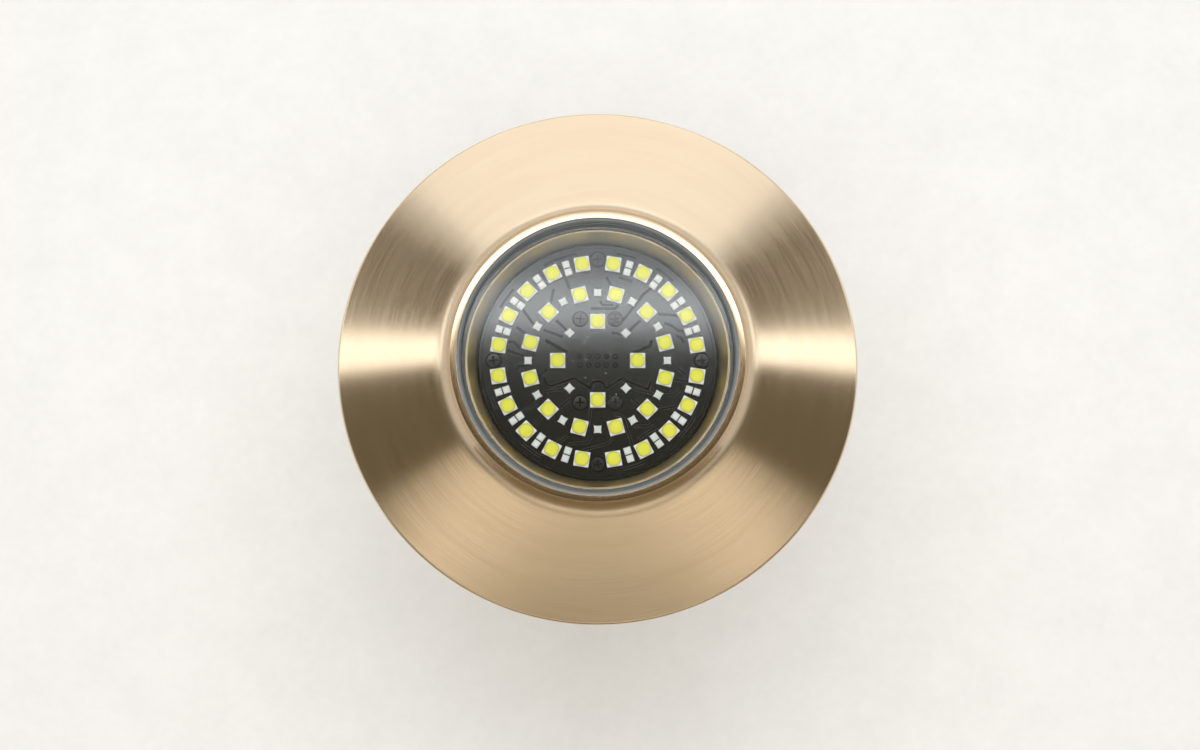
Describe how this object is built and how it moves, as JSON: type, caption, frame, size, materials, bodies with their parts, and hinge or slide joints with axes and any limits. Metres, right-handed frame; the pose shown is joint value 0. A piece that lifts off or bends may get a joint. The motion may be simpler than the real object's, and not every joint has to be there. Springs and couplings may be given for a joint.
{
  "type": "underwater light",
  "caption": "Round bronze underwater light with a wide conical bezel, glass over a ring-patterned emitter board, and a threaded stem clamped through the wall by a nut.",
  "frame": {"origin": "centre of the bezel's back plane, where it seats on the wall, on the light's axis", "axes": "+Z along the light's axis, out of the wall and the way the light shines; +X to the picture's right, +Y to its top"},
  "size_m": [0.119, 0.119, 0.1085],
  "materials": {
    "bronze": "brushed bronze",
    "black_rubber": "matte",
    "grey_rubber": "satin",
    "clear_glass": "polished",
    "black_board": "matte solder mask",
    "green_board": "satin solder mask",
    "silicone_pad": "matte",
    "aluminium": "machined",
    "steel": "satin",
    "black_plastic": "matte",
    "green_plastic": "satin",
    "ferrite": "matte"
  },
  "bodies": {
    "housing_body": {"housing": "bronze", "flange_seal": "black_rubber", "lens_seal": "grey_rubber", "lens_glass": "clear_glass"},
    "light_module_body": {"led_board": "black_board", "thermal_pad": "silicone_pad", "heat_sink_cup": "aluminium", "module_o_ring_upper": "black_rubber", "module_o_ring_lower": "black_rubber", "board_header": "black_plastic", "standoff_1": "steel", "standoff_2": "steel", "standoff_3": "steel", "driver_board": "green_board", "driver_inductor": "ferrite", "driver_capacitor_1": "aluminium", "driver_capacitor_2": "aluminium", "terminal_block": "green_plastic", "rear_cap": "bronze", "cap_o_ring": "black_rubber", "snap_ring": "steel", "gland_body": "bronze", "gland_o_ring": "black_rubber", "gland_seal": "black_rubber"},
    "lock_ring_body": {"lock_ring": "bronze"},
    "backing_body": {"inner_gasket": "black_rubber", "backing_washer": "bronze"},
    "wall_nut_body": {"wall_nut": "bronze"},
    "gland_slip_body": {"gland_slip_ring": "steel"},
    "gland_nut_body": {"gland_nut": "bronze"}
  },
  "joints": [
    {"name": "backing_slide", "type": "slide", "parent": "housing_body", "child": "backing_body", "axis": [0, 0, 1], "range_m": [-0.01, 0.01]},
    {"name": "wall_nut_turn", "type": "hinge", "parent": "backing_body", "child": "wall_nut_body", "pos_m": [0, 0, -0.0275], "axis": [0, 0, 1], "range_deg": [-1800, 1800]},
    {"name": "module_slide", "type": "slide", "parent": "housing_body", "child": "light_module_body", "axis": [0, 0, 1], "range_m": [-0.01, 0]},
    {"name": "lock_ring_turn", "type": "hinge", "parent": "light_module_body", "child": "lock_ring_body", "pos_m": [0, 0, -0.0568], "axis": [0, 0, 1], "range_deg": [-1800, 0]},
    {"name": "gland_slip_slide", "type": "slide", "parent": "light_module_body", "child": "gland_slip_body", "axis": [0, 0, 1], "range_m": [-0.003, 0]},
    {"name": "gland_nut_turn", "type": "hinge", "parent": "gland_slip_body", "child": "gland_nut_body", "pos_m": [0, 0, -0.0883], "axis": [0, 0, 1], "range_deg": [-720, 0]}
  ],
  "couplings": [
    {"joint": "backing_slide", "follows": "wall_nut_turn", "m_per_rad": 0.00031831},
    {"joint": "module_slide", "follows": "lock_ring_turn", "m_per_rad": 0.00031831},
    {"joint": "gland_slip_slide", "follows": "gland_nut_turn", "m_per_rad": 0.00023873}
  ]
}
